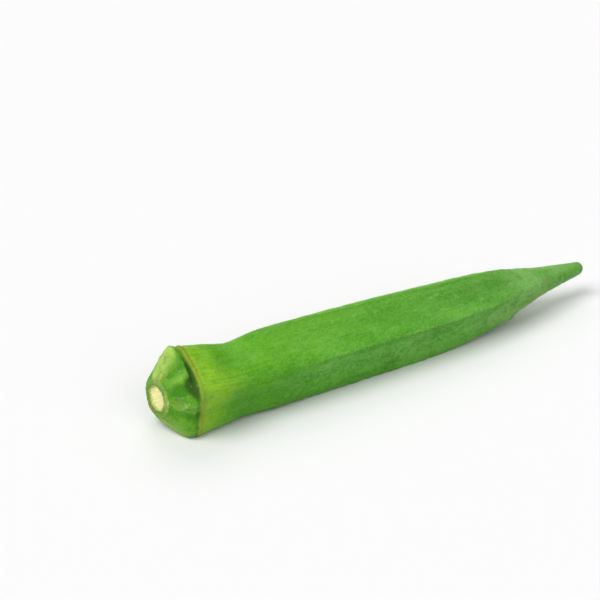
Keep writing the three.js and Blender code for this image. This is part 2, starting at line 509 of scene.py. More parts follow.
@dataclass(frozen=True)
class PodForm:
    """The whole skin of the pod as a formula."""

    length: float = 116.5
    tip_rounding: float = 1.8
    crests: Crests = Crests()
    cap: Cap = Cap()
    cut: Cut = Cut()
    relief: Relief = Relief()
    swelling: Knot = Knot(2.9, 127, 2.1, 1.6, 0.75)
    pit: Knot = Knot(4.5, 145, 1.25, 2.6, -0.95)
    dent: Knot = Knot(2.3, 146, 1.4, 1.5, -0.45)
    knots: tuple[Knot, ...] = (Knot(1.5, 272, 1.4, 2.6, 0.35), Knot(92, 232, 1.2, 1.2, 0.4))
    crest_radius: Curve = Curve((
        (0.3, 4.6), (0.9, 5.7), (2, 7.4), (3.2, 8.9), (4.6, 9.95), (6, 10.3), (11, 9.8), (18.5, 8.7),
        (27, 9.3), (41, 9.15), (57, 8.95), (71, 8.5), (81.5, 7.65), (90, 6.45), (97, 4.9), (103, 3.45),
        (109, 2.5), (114.7, 1.65),
    ))
    sharpness: Curve = Curve((
        (0, 4), (4.2, 5.5), (6, 10), (13, 7.5), (24, 6.5), (36, 9), (52, 12), (82, 12), (92, 9), (102, 5),
        (116, 4),
    ))
    axis_height: Curve = Curve((
        (0, 8), (2.5, 8.3), (6, 8.7), (18.5, 7.6), (28, 7.82), (41, 7.7), (57, 7.3), (72, 6.95),
        (96, 7.45), (116, 7.4),
    ))
    axis_bow: Curve = Curve(((0, 1.4), (6, 0.5), (27, 0.5), (57, 0.1), (87, -0.35), (116, -0.3)))
    face_hollow: Curve = Curve((
        (2, 0), (6, 0.07), (14, 0.04), (22, 0.04), (34, 0.07), (88, 0.07), (104, 0),
    ))
    line_height: float = 0.22
    line_half_width: float = 0.9
    line_runs: tuple[Span, Span] = ((26, 40), (86, 100))

    def spots(self, station: Array, direction: Array) -> Spots:
        """Places on the skin, by their stations and directions."""
        return Spots(station, direction, self.crest_radius(station))

    def grid(self, stations: Array, columns: int) -> Spots:
        """Places on the skin in rows at the stations, with columns from the first crest round."""
        return self.spots(*np.meshgrid(stations, self.crests.columns(columns), indexing="ij"))

    def radius(self, at: Spots) -> Array:
        """Distance from the axis to the skin.

        Args:
            at: Places on the skin.

        Returns:
            The distance at each place, with the fine forms.
        """
        tip = np.clip((at.station - self.length) / self.tip_rounding + 1, 0, 1)
        hollow = self.face_hollow(at.station) * self.crests.between(at.direction)
        section = self.crests.pentagon(self.sharpness(at.station), at.direction) - hollow
        forms = (self.cap, self.relief, self.swelling, self.pit, self.dent, *self.knots)
        line = self.crests.near(at.direction, self.line_half_width / at.radius)
        fine = sum(form.height(at) for form in forms) + self.line_height * at.within(*self.line_runs) * line
        return (at.radius * section + fine * (1 - tip)) * np.sqrt(1 - tip * tip)

    def place(self, at: Spots, share: Array | float = 1.0) -> Array:
        """Points on the skin, or inside it on the cut.

        Args:
            at: Places on the skin.
            share: Share of the way from the axis to the skin.

        Returns:
            An array of points, with x, y and z last.
        """
        radius = share * self.radius(at)
        x = at.station + self.cut.lean(at, radius)
        y = self.axis_bow(at.station) + radius * np.cos(at.direction)
        z = self.axis_height(at.station) + radius * np.sin(at.direction)
        return np.stack([x, y, z], axis=-1)


# ---- Laying meshes down ----


@dataclass(frozen=True)
class Bed:
    """Where the pod's own millimetres lie in the shared frame."""

    shift: tuple[float, float]

    @classmethod
    def under(cls, form: PodForm) -> "Bed":
        """The place that puts the form over its solid.

        Args:
            form: The pod's form.

        Returns:
            The bed, with the tip and the pod's middle where the solid has them.
        """
        low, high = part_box(NODE)
        across = form.place(form.grid(np.linspace(4, 110, 160), 120))[..., 1]
        middle = (across.min() + across.max()) / 2
        return cls((high.x / MM - form.length, (low.y + high.y) / 2 / MM - middle))

    def lay(self, points: Array) -> Array:
        """Lays points down, with none below the surface that the pod lies on.

        Args:
            points: Points in the pod's own millimetres, with x, y and z last.

        Returns:
            The points as rows, in metres in the shared frame.
        """
        laid = points.reshape(-1, 3) + np.array([*self.shift, 0.0])
        laid[:, 2] = np.maximum(laid[:, 2], 0.0)
        return laid * MM


def sheet(rows: int, columns: int) -> tuple[Array, Array, Array]:
    """Faces of a sheet made of closed rings of points, ring after ring.

    Args:
        rows: The number of rings.
        columns: Points in each ring.

    Returns:
        The faces, as rows of four point numbers, and the ring and the column of each of their corners.
    """
    i, j = (n.ravel() for n in np.meshgrid(np.arange(rows - 1), np.arange(columns), indexing="ij"))
    ring, column = np.stack([i, i + 1, i + 1, i], -1), np.stack([j, j, j + 1, j + 1], -1)
    return ring * columns + column % columns, ring, column


def fan(start: int, columns: int, point: int) -> Array:
    """Triangles between one point and a closed ring of points.

    Args:
        start: The number of the ring's first point.
        columns: Points in the ring.
        point: The number of the one point.

    Returns:
        The triangles, as rows of four point numbers with the last one repeated.
    """
    j = np.arange(columns)
    after = start + (j + 1) % columns
    return np.stack([start + j, np.full(columns, point), after, after], -1)


def make_piece(name: str, points: Array, faces: Array, loops: Array | None = None) -> bpy.types.Object:
    """A smooth-shaded mesh object.

    Args:
        name: The piece's name.
        points: Its points, in metres.
        faces: Its faces, as rows of point numbers, where a triangle repeats its last number.
        loops: The place of each face corner on the bake map, if the piece brings one.

    Returns:
        The object, linked to the scene.
    """
    mesh = bpy.data.meshes.new(name)
    corners = [row[:3] if row[3] == row[2] else row for row in faces.tolist()]
    mesh.from_pydata(points.tolist(), [], corners)
    mesh.polygons.foreach_set("use_smooth", np.ones(len(mesh.polygons), bool))
    if loops is not None:
        keep = np.ones(faces.shape, bool)
        keep[:, 3] = faces[:, 3] != faces[:, 2]
        layer = mesh.uv_layers.new(name=BAKE_MAP)
        layer.data.foreach_set("uv", loops[keep].astype(np.float32).ravel())
    mesh.update()
    piece = bpy.data.objects.new(name, mesh)
    bpy.context.scene.collection.objects.link(piece)
    return piece


def mark(piece: bpy.types.Object, name: str, values: Array) -> None:
    """Writes a number or a vector for each point of a piece, for its material to read.

    Args:
        piece: The piece.
        name: The attribute's name.
        values: A number, or three, for each point.
    """
    vector = values.ndim > 1
    layer = piece.data.attributes.new(name, "FLOAT_VECTOR" if vector else "FLOAT", "POINT")
    layer.data.foreach_set("vector" if vector else "value", values.astype(np.float32).ravel())


def settle(piece: bpy.types.Object, material: bpy.types.Material) -> bpy.types.Object:
    """Gives a piece its material, and lets it ride with the pod.

    Args:
        piece: The piece.
        material: The finish.

    Returns:
        The piece.
    """
    piece.data.materials.append(material)
    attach(piece, BODY)
    return piece


# ---- Shader wiring ----


class Wire:
    """A number on its way through a shader. Arithmetic on it adds Math nodes."""

    def __init__(self, board: "Board", socket: bpy.types.NodeSocket) -> None:
        """Holds the socket that the number comes out of."""
        self.board = board
        self.socket = socket

    def _math(self, operation: str, first: "Wire | float", second: "Wire | float") -> "Wire":
        """A Math node on two numbers."""
        node = self.board.node("ShaderNodeMath", {"operation": operation}, {0: first, 1: second})
        return Wire(self.board, node.outputs[0])

    def __add__(self, other: "Wire | float") -> "Wire":
        """The sum."""
        return self._math("ADD", self, other)

    __radd__ = __add__

    def __sub__(self, other: "Wire | float") -> "Wire":
        """The difference."""
        return self._math("SUBTRACT", self, other)

    def __rsub__(self, other: float) -> "Wire":
        """The difference from a number."""
        return self._math("SUBTRACT", other, self)

    def __mul__(self, other: "Wire | float") -> "Wire":
        """The product."""
        return self._math("MULTIPLY", self, other)

    __rmul__ = __mul__

    def held(self) -> "Wire":
        """The number, kept from 0 to 1."""
        return self._math("MINIMUM", self._math("MAXIMUM", self, 0.0), 1.0)

    def over(self, low: float, high: float) -> "Wire":
        """Rises smoothly as the number passes from low to high.

        Args:
            low: Where it is 0.
            high: Where it is 1, which may be the lower of the two.

        Returns:
            The share of the way, from 0 to 1.
        """
        settings = {"interpolation_type": "SMOOTHSTEP"}
        node = self.board.node("ShaderNodeMapRange", settings, {0: self, 1: low, 2: high, 3: 0.0, 4: 1.0})
        return Wire(self.board, node.outputs[0])


class Board:
    """A material's nodes."""

    def __init__(self, name: str) -> None:
        """Starts a material with its nodes cleared.

        Args:
            name: The material's name.
        """
        self.material = bpy.data.materials.new(name)
        self.material.use_nodes = True
        self.tree = self.material.node_tree
        self.tree.nodes.clear()

    def node(
        self, kind: str, settings: dict[str, Any] | None = None, sockets: dict[Any, Any] | None = None
    ) -> bpy.types.Node:
        """Adds a node.

        Args:
            kind: The node's type.
            settings: Its settings, or the stops of its ramp, set first.
            sockets: A value, a wire or a socket for each input, by its number or name.

        Returns:
            The node.
        """
        node = self.tree.nodes.new(kind)
        for name, value in (settings or {}).items():
            if name == "stops":
                self._stops(node.color_ramp, value)
            else:
                setattr(node, name, value)
        for key, value in (sockets or {}).items():
            source = value.socket if isinstance(value, Wire) else value
            if isinstance(source, bpy.types.NodeSocket):
                self.tree.links.new(source, node.inputs[key])
            else:
                node.inputs[key].default_value = source
        return node

    @staticmethod
    def _stops(ramp: bpy.types.ColorRamp, stops: Sequence[tuple[float, Colour]]) -> None:
        """Sets a ramp's stops.

        Args:
            ramp: The ramp.
            stops: Its places from 0 to 1, in order, each with its colour.
        """
        while len(ramp.elements) < len(stops):
            ramp.elements.new(1.0)
        for element, (place, colour) in zip(ramp.elements, stops, strict=True):
            element.position = place
            element.color = (*colour, 1.0)

    def local(self) -> bpy.types.NodeSocket:
        """The place on the piece, in metres."""
        return self.node("ShaderNodeTexCoord").outputs["Object"]

    def reading(self, name: str) -> Wire:
        """A number that the piece holds for each of its points."""
        node = self.node("ShaderNodeAttribute", {"attribute_name": name})
        return Wire(self, node.outputs["Fac"])

    def course(self, name: str) -> bpy.types.NodeSocket:
        """A vector that the piece holds for each of its points."""
        return self.node("ShaderNodeAttribute", {"attribute_name": name}).outputs["Vector"]

    def noise(
        self, vector: bpy.types.NodeSocket, scale: float, detail: float = 3.0, rough: float = 0.5,
        stretch: Colour | None = None,
    ) -> Wire:
        """Soft noise, mostly from 0.3 to 0.7.

        Args:
            vector: The place that it is read at.
            scale: How fine it is.
            detail: How many finer layers it has.
            rough: How strong those layers are.
            stretch: What each part of the place is multiplied by first, if anything.

        Returns:
            The noise.
        """
        if stretch:
            factors = {0: vector, 1: stretch}
            vector = self.node("ShaderNodeVectorMath", {"operation": "MULTIPLY"}, factors).outputs[0]
        sockets = {"Vector": vector, "Scale": scale, "Detail": detail, "Roughness": rough}
        return Wire(self, self.node("ShaderNodeTexNoise", None, sockets).outputs["Fac"])

    def cells(self, vector: bpy.types.NodeSocket, scale: float) -> Wire:
        """Distance to the middle of the nearest cell."""
        node = self.node("ShaderNodeTexVoronoi", {"feature": "F1"}, {"Vector": vector, "Scale": scale})
        return Wire(self, node.outputs["Distance"])

    def ramp(self, value: Wire, stops: Sequence[tuple[float, Colour]]) -> bpy.types.NodeSocket:
        """A colour picked along a run of colours."""
        return self.node("ShaderNodeValToRGB", {"stops": stops}, {0: value}).outputs[0]

    def coated(self, base: Any, coats: Iterable[tuple[Wire, Any]]) -> bpy.types.NodeSocket:
        """A colour with coats of other colours laid over it, one after another.

        Args:
            base: The colour under them, or its socket.
            coats: The share that each coat covers, and its colour or socket.

        Returns:
            The colour's socket.
        """
        for share, coat in coats:
            ends = [(*end, 1.0) if isinstance(end, tuple) else end for end in (base, coat)]
            settings = {"data_type": "RGBA", "blend_type": "MIX"}
            base = self.node("ShaderNodeMix", settings, {0: share, 6: ends[0], 7: ends[1]}).outputs[2]
        return base

    def finished(
        self, sockets: dict[str, Any], bump: Wire | None = None, reach: float = 0.0
    ) -> bpy.types.Material:
        """Ends the nodes in a Principled shader.

        Args:
            sockets: Values and links of the shader's inputs.
            bump: Height of the fine relief, if it has one.
            reach: Height of that relief in metres where it is 1.

        Returns:
            The material.
        """
        if bump is not None:
            node = self.node("ShaderNodeBump", None, {"Height": bump, "Distance": reach, "Strength": 1.0})
            sockets = {**sockets, "Normal": node.outputs[0]}
        shader = self.node("ShaderNodeBsdfPrincipled", None, sockets)
        self.node("ShaderNodeOutputMaterial", None, {0: shader.outputs[0]})
        return self.material


# ---- Finishes ----


@dataclass(frozen=True)
class SkinFinish:
    """Fresh green skin: streaked along the pod, yellower at the neck, bluer and paler at the tip."""

    cap: Colour = (0.085, 0.30, 0.004)
    neck: Colour = (0.28, 0.535, 0.012)
    shoulder: Colour = (0.098, 0.362, 0.003)
    middle: Colour = (0.092, 0.348, 0.021)
    taper: Colour = (0.1, 0.315, 0.04)
    beak: Colour = (0.12, 0.345, 0.055)
    deep: Colour = (0.04, 0.2, 0.004)
    band: Colour = (0.2, 0.5, 0.035)
    bloom: Colour = (0.2, 0.42, 0.1)
    cloud: Colour = (0.185, 0.52, 0.08)
    clear: Colour = (0.03, 0.44, 0.0)
    haze: Colour = (0.2, 0.5, 0.085)
    dust: Colour = (0.25, 0.31, 0.11)
    crest: Colour = (0.24, 0.58, 0.09)
    shade: Colour = (0.05, 0.27, 0.006)
    pale: Colour = (0.205, 0.465, 0.108)
    # painted highlight colour for the sunlit lobe and the lit top of the swelling
    lobe_highlight: Colour = (0.42, 0.62, 0.12)
    ring: Colour = (0.27, 0.37, 0.03)
    rust: Colour = (0.33, 0.21, 0.03)
    # painted shade colour for the groove before the ring and the pit beside it
    groove_shade: Colour = (0.02, 0.068, 0.006)
    scar: Colour = (0.20, 0.26, 0.05)
    lip: Colour = (0.55, 0.62, 0.28)
    nick: Colour = (0.42, 0.64, 0.27)
    fleck: Colour = (0.25, 0.43, 0.025)
    speck: Colour = (0.42, 0.58, 0.26)
    blemish: Colour = (0.26, 0.22, 0.06)
    roughness: float = 0.46
    sheen: float = 0.02
    scatter: float = 0.12
    relief_height: float = 0.00022

    def material(self) -> bpy.types.Material:
        """The skin's material.

        Returns:
            A material that reads the marks of the skin's mesh.
        """
        board = Board("pod_skin")
        read, noise = board.reading, board.noise
        course, local, along = board.course("course"), board.local(), read("along")
        near_cap = along.over(0.09, 0.05)
        bare = 1.0 - near_cap * 0.8

        streaks = noise(course, 3.0, 5.0, 0.62, (2.2, 7.0, 7.0))
        bands = noise(course, 4.0, 5.0, 0.66, (1.6, 3.4, 3.4))
        threads = noise(course, 3.0, 4.0, 0.6, (5.0, 26.0, 26.0))
        bloomed = noise(course, 2.0, 5.0, 0.65, (9.0, 5.0, 5.0))
        patches = noise(local, 70.0, 4.0, 0.55)
        mottle = noise(local, 420.0, 4.0, 0.6)
        grain = noise(local, 1900.0, 2.0, 0.6)
        banded = 0.24 + along.over(0.4, 0.12) * 0.24
        wear = (0.45 + noise(local, 500.0, 2.0).over(0.35, 0.65) * 0.55) * read("crest")
        base = board.ramp(along, (
            (0.0, self.cap), (0.045, self.cap), (0.062, self.shoulder), (0.2, self.shoulder),
            (0.5, self.middle), (0.78, self.taper), (0.9, self.beak),
        ))
        base = board.coated(base, (
            (streaks.over(0.56, 0.36) * 0.25, self.deep),
            (read("neck") * (0.74 + 0.26 * streaks.over(0.35, 0.6)), self.neck),
            (bands.over(0.48, 0.3) * banded, self.deep),
            (bands.over(0.52, 0.7) * banded, self.band),
            (threads.over(0.5, 0.72) * bare * 0.16, self.bloom),
            (patches.over(0.5, 0.74) * along.over(0.75, 0.25) * 0.24, self.neck),
            (mottle.over(0.52, 0.3) * 0.3, self.deep),
            (bloomed.over(0.45, 0.7) * along.over(0.35, 0.9) * 0.45, self.bloom),
            (wear * 0.62, self.crest),
        ))

        clouds = noise(local, 230.0, 5.0, 0.68)
        haze = noise(local, 200.0, 3.0, 0.55, (0.42, 1.0, 1.0))
        clouded, pale = read("clouded"), read("pale")
        cloudy = 0.3 + clouded * 0.7
        blots = read("blot") * (0.4 + mottle.over(0.62, 0.38) * 0.6)
        dusty = noise(local, 520.0, 4.0, 0.7).over(0.52, 0.66) * pale
        base = board.coated(base, (
            (clouds.over(0.48, 0.36) * cloudy * 0.45, self.deep),
            (clouded * 0.4, self.clear),
            (clouds.over(0.46, 0.6) * cloudy * 0.5, self.cloud),
            (haze.over(0.49, 0.58) * (0.13 + clouded * 0.26), self.haze),
            (haze.over(0.5, 0.4) * (0.18 + clouded * 0.34), self.deep),
            (read("shade") * (0.3 + 0.45 * mottle.over(0.65, 0.35)), self.shade),
            ((blots * 0.6).held(), self.deep),
            # painted shade along a thin line just under the crests
            (read("under") * 0.3, self.deep),
            (pale * (0.35 + 0.65 * mottle.over(0.38, 0.56)), self.pale),
            (dusty * 0.5, self.dust),
            (read("stripe") * mottle.over(0.64, 0.4) * 0.8, self.middle),
        ))

        flecks = noise(local, 850.0, 4.0, 0.68)
        rusty = noise(local, 900.0, 3.0, 0.6).over(0.5, 0.62)
        rubbed = read("browned") * mottle.over(0.38, 0.58)
        # how deep the groove and the pit are, which sets the painted shade there and their roughness
        groove_shade = read("groove_shade").over(0.12, 0.75)
        ring = (read("ring") + (mottle - 0.5) * 0.5).over(0.1, 0.72) * (1.0 - groove_shade * 0.5)
        lip = read("lip") * noise(local, 700.0, 2.0).over(0.35, 0.55)
        scar = read("scar")
        base = board.coated(base, (
            # painted highlight on the sunlit lobe and the swelling
            ((read("lobe_highlight") * (0.7 + 0.3 * mottle.over(0.35, 0.6))).held(), self.lobe_highlight),
            (flecks.over(0.5, 0.64) * near_cap * 0.34, self.fleck),
            (flecks.over(0.48, 0.36) * near_cap * 0.4, self.deep),
            (read("nick") * 0.6, self.nick),
            (rubbed * 0.5, self.blemish),
            (rubbed * rusty * 0.6, self.rust),
            # painted shade in the cap's hollows between the lobes and in its dent
            (read("hollow").over(0.1, 1.5) * 0.85, self.deep),
            # painted shade in the groove before the ring and in the pit
            (groove_shade * 0.9, self.groove_shade),
            (ring.held() * 0.75, board.coated(self.ring, ((rusty * 0.7, self.rust),))),
            (scar * 0.5, self.scar),
            (lip * 0.4, self.lip),
        ))

        dots = board.cells(local, 620.0).over(0.2, 0.05) * noise(local, 160.0).over(0.5, 0.6)
        scuffs = noise(local, 900.0, 2.0, 0.5, (0.35, 1.0, 1.0))
        specks = noise(local, 900.0, 4.0, 0.7)
        spoiled = noise(local, 260.0, 4.0, 0.7).over(0.66, 0.74) * (0.25 + along.over(0.8, 1.0))
        base = board.coated(base, (
            (dots * 0.25, self.speck),
            (scuffs.over(0.62, 0.76) * 0.22, self.speck),
            (specks.over(0.5, 0.62) * clouded * 0.32, self.haze),
            (specks.over(0.5, 0.38) * clouded * 0.45, self.deep),
            (grain.over(0.45, 0.65) * bare * (0.28 + clouded * 0.24), self.bloom),
            (grain.over(0.52, 0.32) * (0.22 + clouded * 0.28), self.deep),
            (spoiled.held() * 0.6, self.blemish),
        ))

        rough = self.roughness + (mottle - 0.5) * 0.3 + groove_shade * 0.3 + scar * 0.2
        relief = grain * 0.22 + mottle * 0.3 + threads * 0.5 + board.cells(local, 1500.0) * 0.12
        shader = {
            "Base Color": base,
            "Roughness": rough.held(),
            "Subsurface Weight": self.scatter,
            "Subsurface Radius": (0.4, 1.0, 0.15),
            "Subsurface Scale": 0.0012,
            "Sheen Weight": self.sheen,
            "Sheen Roughness": 0.5,
            "Specular IOR Level": 0.1,
        }
        return board.finished(shader, relief, self.relief_height)


@dataclass(frozen=True)
class PithFinish:
    """The cut through the stem: cream pith with short fibres, greener towards the rim."""

    core: Colour = (0.83, 0.79, 0.36)
    fibre: Colour = (0.70, 0.66, 0.26)
    bruise: Colour = (0.52, 0.50, 0.17)
    ring: Colour = (0.38, 0.50, 0.12)
    line: Colour = (0.11, 0.2, 0.015)
    bark: Colour = (0.125, 0.3, 0.02)
    browned: Colour = (0.30, 0.20, 0.06)
    roughness: float = 0.72
    scatter: float = 0.2
    fibre_height: float = 0.00018

    def material(self) -> bpy.types.Material:
        """The cut's material.

        Returns:
            A material that reads the marks of the cut's mesh.
        """
        board = Board("cut_pith")
        local, noise = board.local(), board.noise
        place = (board.reading("out") + (noise(local, 700.0, 3.0) - 0.5) * 0.16).held()
        fibres = noise(local, 1500.0, 4.0, 0.65, (1.0, 1.0, 3.2))
        bruises = noise(local, 480.0, 3.0, 0.6).over(0.54, 0.66)
        mealy = (0.3 + noise(local, 850.0, 3.0, 0.6).over(0.4, 0.6) * 0.7) * place.over(0.62, 0.74)
        browned = noise(local, 380.0, 4.0, 0.6).over(0.5, 0.62) * place.over(0.66, 0.8)
        base = board.ramp(place, (
            (0.0, self.core), (0.43, self.core), (0.53, self.fibre), (0.61, self.ring), (0.68, self.line),
            (0.77, self.bark),
        ))
        base = board.coated(base, (
            (fibres.over(0.52, 0.66) * (1.0 - place.over(0.55, 0.75)) * 0.6, self.fibre),
            (bruises * (1.0 - place.over(0.6, 0.8)) * 0.4, self.bruise),
            (mealy * board.reading("mealy"), self.ring),
            (browned * 0.6, self.browned),
        ))
        shader = {
            "Base Color": base,
            "Roughness": self.roughness,
            "Subsurface Weight": self.scatter,
            "Subsurface Radius": (1.0, 0.9, 0.3),
            "Subsurface Scale": 0.001,
        }
        return board.finished(shader, fibres, self.fibre_height)


@dataclass(frozen=True)
class HairFinish:
    """Short stiff hairs, nearly clear, paler towards their points."""

    root: Colour = (0.2, 0.42, 0.06)
    point: Colour = (0.46, 0.62, 0.26)

    def material(self) -> bpy.types.Material:
        """The hairs' material.

        Returns:
            A material that reads how near its hair's point a place is.
        """
        board = Board("pod_hairs")
        colour = board.coated(self.root, ((board.reading("tipward"), self.point),))
        return board.finished({"Base Color": colour, "Roughness": 0.5, "Specular IOR Level": 0.3})


@dataclass(frozen=True)
class FloorFinish:
    """Plain pale matte floor."""

    colour: Colour = (0.78, 0.78, 0.78)

    def material(self) -> bpy.types.Material:
        """The floor's material."""
        sockets = {"Base Color": (*self.colour, 1.0), "Roughness": 0.9, "Specular IOR Level": 0.1}
        return Board("studio_floor").finished(sockets)


# ---- Pieces ----


@dataclass(frozen=True)
class Blot:
    """A soft round patch of another colour."""

    station: float
    degrees: float
    half_length: float
    spread: float
    depth: float = 1.0

    def strength(self, at: Spots) -> Array:
        """How strongly each place shows it."""
        along = bell((at.station - self.station) / self.half_length)
        return self.depth * at.beside(self.degrees, self.spread) * along


@dataclass(frozen=True)
class Streak:
    """A soft streak of another colour along one side of the pod, to the tip unless it ends before."""

    degrees: float
    spread: float
    begins: Span
    ends: Span = (900, 999)

    def strength(self, at: Spots) -> Array:
        """How strongly each place shows it, from 0 to 1."""
        return at.beside(self.degrees, self.spread) * at.within(self.begins, self.ends)


@dataclass(frozen=True)
class Colouring:
    """Where the colours of the skin lie, with painted highlight on the sunlit lobe and painted shade in the
    cap's hollows, in its groove, under the crests and on the lower face near the neck.
    """

    form: PodForm
    lobe_runs: tuple[Span, Span] = ((-0.4, 0.6), (3.5, 4.5))
    sunny_degrees: float = 80
    sunny_edge: Span = (0.22, 0.5)
    # where the painted bounce light lies on the lower lobe under the stem
    bounce_degrees: float = 250
    bounce_spread: float = 0.45
    bounce_share: float = 0.75
    ripe_degrees: float = 152
    ripe_spread: float = 0.4
    shaded: Streak = Streak(204, 0.6, (9, 20), (22, 50))
    clouded: Streak = Streak(190, 0.5, (22, 34))
    blots: tuple[Blot, ...] = (
        Blot(64, 180, 3.5, 0.2, 1.0), Blot(57, 214, 3.0, 0.2, 0.8), Blot(51, 198, 4.0, 0.4, 0.7),
        Blot(80, 139, 3.5, 0.2, 0.9), Blot(66, 139, 5.0, 0.15, 0.5), Blot(87, 108, 4.0, 0.3, 0.4),
    )
    pale_begins: Span = (88, 98)
    pale_fades: Span = (105, 112)
    pale_lead: float = 13
    lead_degrees: float = 200
    lead_spread: float = 0.45
    crest_half_width: float = 0.32
    # where the painted shade just under the crests lies
    crest_shade_offset: float = 0.85
    crest_shade_half_width: float = 0.4
    green_stripe: Streak = Streak(160, 0.34, (104, 109))
    green_patch: Blot = Blot(102.5, 112, 1.8, 0.25)
    browned: Blot = Blot(101, 226, 6.5, 0.32)
    nick_station: float = 100.2
    nick_half_width: float = 0.2
    nick_degrees: float = 168
    nick_spread: float = 1.1
    nick_bend: float = 2.3
    bend_degrees: float = 188
    bend_half_width: float = 0.75

    def highlighted_lobe(self, at: Spots) -> Array:
        """Painted highlight on the sunlit side of the first lobe, and painted bounce light on the lower lobe
        under the stem.

        Args:
            at: Places on the skin.

        Returns:
            How strongly each place shows it, from 0 to 1.
        """
        off = np.abs(turn(at.direction, math.radians(self.sunny_degrees)))
        # painted bounce light on the lower lobe under the stem
        below = self.bounce_share * at.beside(self.bounce_degrees, self.bounce_spread)
        return (1 - rise(*self.sunny_edge, off) + below) * at.within(*self.lobe_runs)

    def ripened(self, at: Spots) -> Array:
        """Where the neck is yellower, furthest along the second crest."""
        reach = at.beside(self.ripe_degrees, self.ripe_spread)
        return rise(6.0, 7.0, at.station) * (1 - rise(7 + 3 * reach, 15 + 6 * reach, at.station))

    def striped(self, at: Spots) -> Array:
        """Where the beak is still green: a stripe to its tip, and a patch that the hairline ends at."""
        return np.minimum(1, self.green_stripe.strength(at) + self.green_patch.strength(at))

    def paled(self, at: Spots) -> Array:
        """Where the beak is dry and pale, before its green end.

        Args:
            at: Places on the skin.

        Returns:
            How pale each place is, from 0 to 1.
        """
        lead = self.pale_lead * at.beside(self.lead_degrees, self.lead_spread)
        begun = rise(*self.pale_begins, at.station + lead)
        return begun * (1 - 0.5 * rise(*self.pale_fades, at.station)) * (1 - 0.8 * self.striped(at))

    def nicked(self, at: Spots) -> Array:
        """Where a dry hairline runs a little way round the beak.

        Args:
            at: Places on the skin.

        Returns:
            How strongly each place shows it, from 0 to 1.
        """
        off = turn(at.direction, math.radians(self.bend_degrees))
        line = self.nick_station + self.nick_bend * rise(-self.bend_half_width, self.bend_half_width, off)
        beside = at.beside(self.nick_degrees, self.nick_spread)
        return bell((at.station - line) / self.nick_half_width) * beside

    def marks(self, at: Spots) -> dict[str, Array]:
        """What the material reads at each place.

        Args:
            at: Places on the skin.

        Returns:
            A number or a vector for each place, by name.
        """
        form, cap, crests = self.form, self.form.cap, self.form.crests
        lined = at.within(*form.line_runs)
        along, below = at.station / form.length, at.direction - self.crest_shade_offset / at.radius
        return {
            "along": along,
            "course": np.stack([along, np.cos(at.direction), np.sin(at.direction)], -1),
            "crest": lined * crests.near(at.direction, self.crest_half_width / at.radius),
            # painted shade along a thin line just under each crest
            "under": lined * crests.near(below, self.crest_shade_half_width / at.radius),
            # painted highlight: the lobe's side that faces the key light, bounce light on the lower lobe, and
            # the swelling's top
            "lobe_highlight": np.clip(self.highlighted_lobe(at) + 0.35 * form.swelling.height(at), 0, 1),
            "shade": self.shaded.strength(at),
            "clouded": self.clouded.strength(at),
            "blot": sum(blot.strength(at) for blot in self.blots),
            "pale": self.paled(at),
            "stripe": self.striped(at),
            "nick": self.nicked(at),
            "browned": self.browned.strength(at),
            # painted shade: deeper where the cap's hollows and its dent are deeper
            "hollow": 0.45 * cap.hollowed(at) - 6 * form.dent.height(at),
            # painted shade: deeper where the groove before the ring and the pit are deeper
            "groove_shade": 1.3 * cap.grooved(at) - 1.2 * form.pit.height(at),
            "neck": self.ripened(at),
            "ring": cap.ringed(at),
            "scar": np.max([scar.sunken(at) for scar in cap.scars], axis=0),
            "lip": np.max([scar.lipped(at) for scar in cap.scars], axis=0),
        }


@dataclass(frozen=True)
class Skin:
    """The pod's skin from the rim of the cut to the tip, as one fine mesh."""

    form: PodForm
    bed: Bed
    finish: SkinFinish = SkinFinish()
    columns: int = 250
    zones: tuple[tuple[float, float, int], ...] = (
        (0.3, 9.0, 112), (9.0, 22.0, 40), (22.0, 86.0, 120), (86.0, 114.7, 72),
    )
    tip_rows: int = 14
    map_margin: float = 0.01

    def stations(self) -> Array:
        """Stations of the mesh's rows, closest together on the cap and over the tip.

        Returns:
            The stations, in order from the rim of the cut.
        """
        runs = [np.linspace(start, end, count, endpoint=False) for start, end, count in self.zones]
        bend = np.linspace(0, math.pi / 2, self.tip_rows, endpoint=False)
        over = self.form.length - self.form.tip_rounding * (1 - np.sin(bend))
        return np.concatenate([*runs, over])

    def faces(self, rows: int) -> tuple[Array, Array]:
        """Faces of the mesh and the share of the map that each of their corners has.

        Args:
            rows: Rows of points along the pod, before the last point at the tip.

        Returns:
            The faces, and the corners' places on the bake map.
        """
        quads, ring, column = sheet(rows, self.columns)
        tips = fan((rows - 1) * self.columns, self.columns, rows * self.columns)
        u = np.arange(self.columns)[:, None] + [0, 0.5, 1, 1]
        v = np.zeros(u.shape) + rows - 1 + [0, 1, 0, 0]
        corners = np.stack([np.concatenate([column, u]) / self.columns, np.concatenate([ring, v]) / rows], -1)
        return np.concatenate([quads, tips]), self.map_margin + (1 - 2 * self.map_margin) * corners

    def build(self) -> bpy.types.Object:
        """Builds the skin over the solid.

        Returns:
            The piece.
        """
        rows = self.stations()
        at = self.form.grid(rows, self.columns)
        end = self.form.spots(np.array([self.form.length]), self.form.crests.places[:1])
        points = np.concatenate([self.form.place(at).reshape(-1, 3), self.form.place(end, 0.0)])
        piece = make_piece("skin", self.bed.lay(points), *self.faces(len(rows)))
        colouring = Colouring(self.form)
        last = colouring.marks(end)
        for name, values in colouring.marks(at).items():
            mark(piece, name, np.concatenate([values.reshape(-1, *values.shape[2:]), last[name]]))
        settle(piece, self.finish.material())
        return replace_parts(piece, NODE)


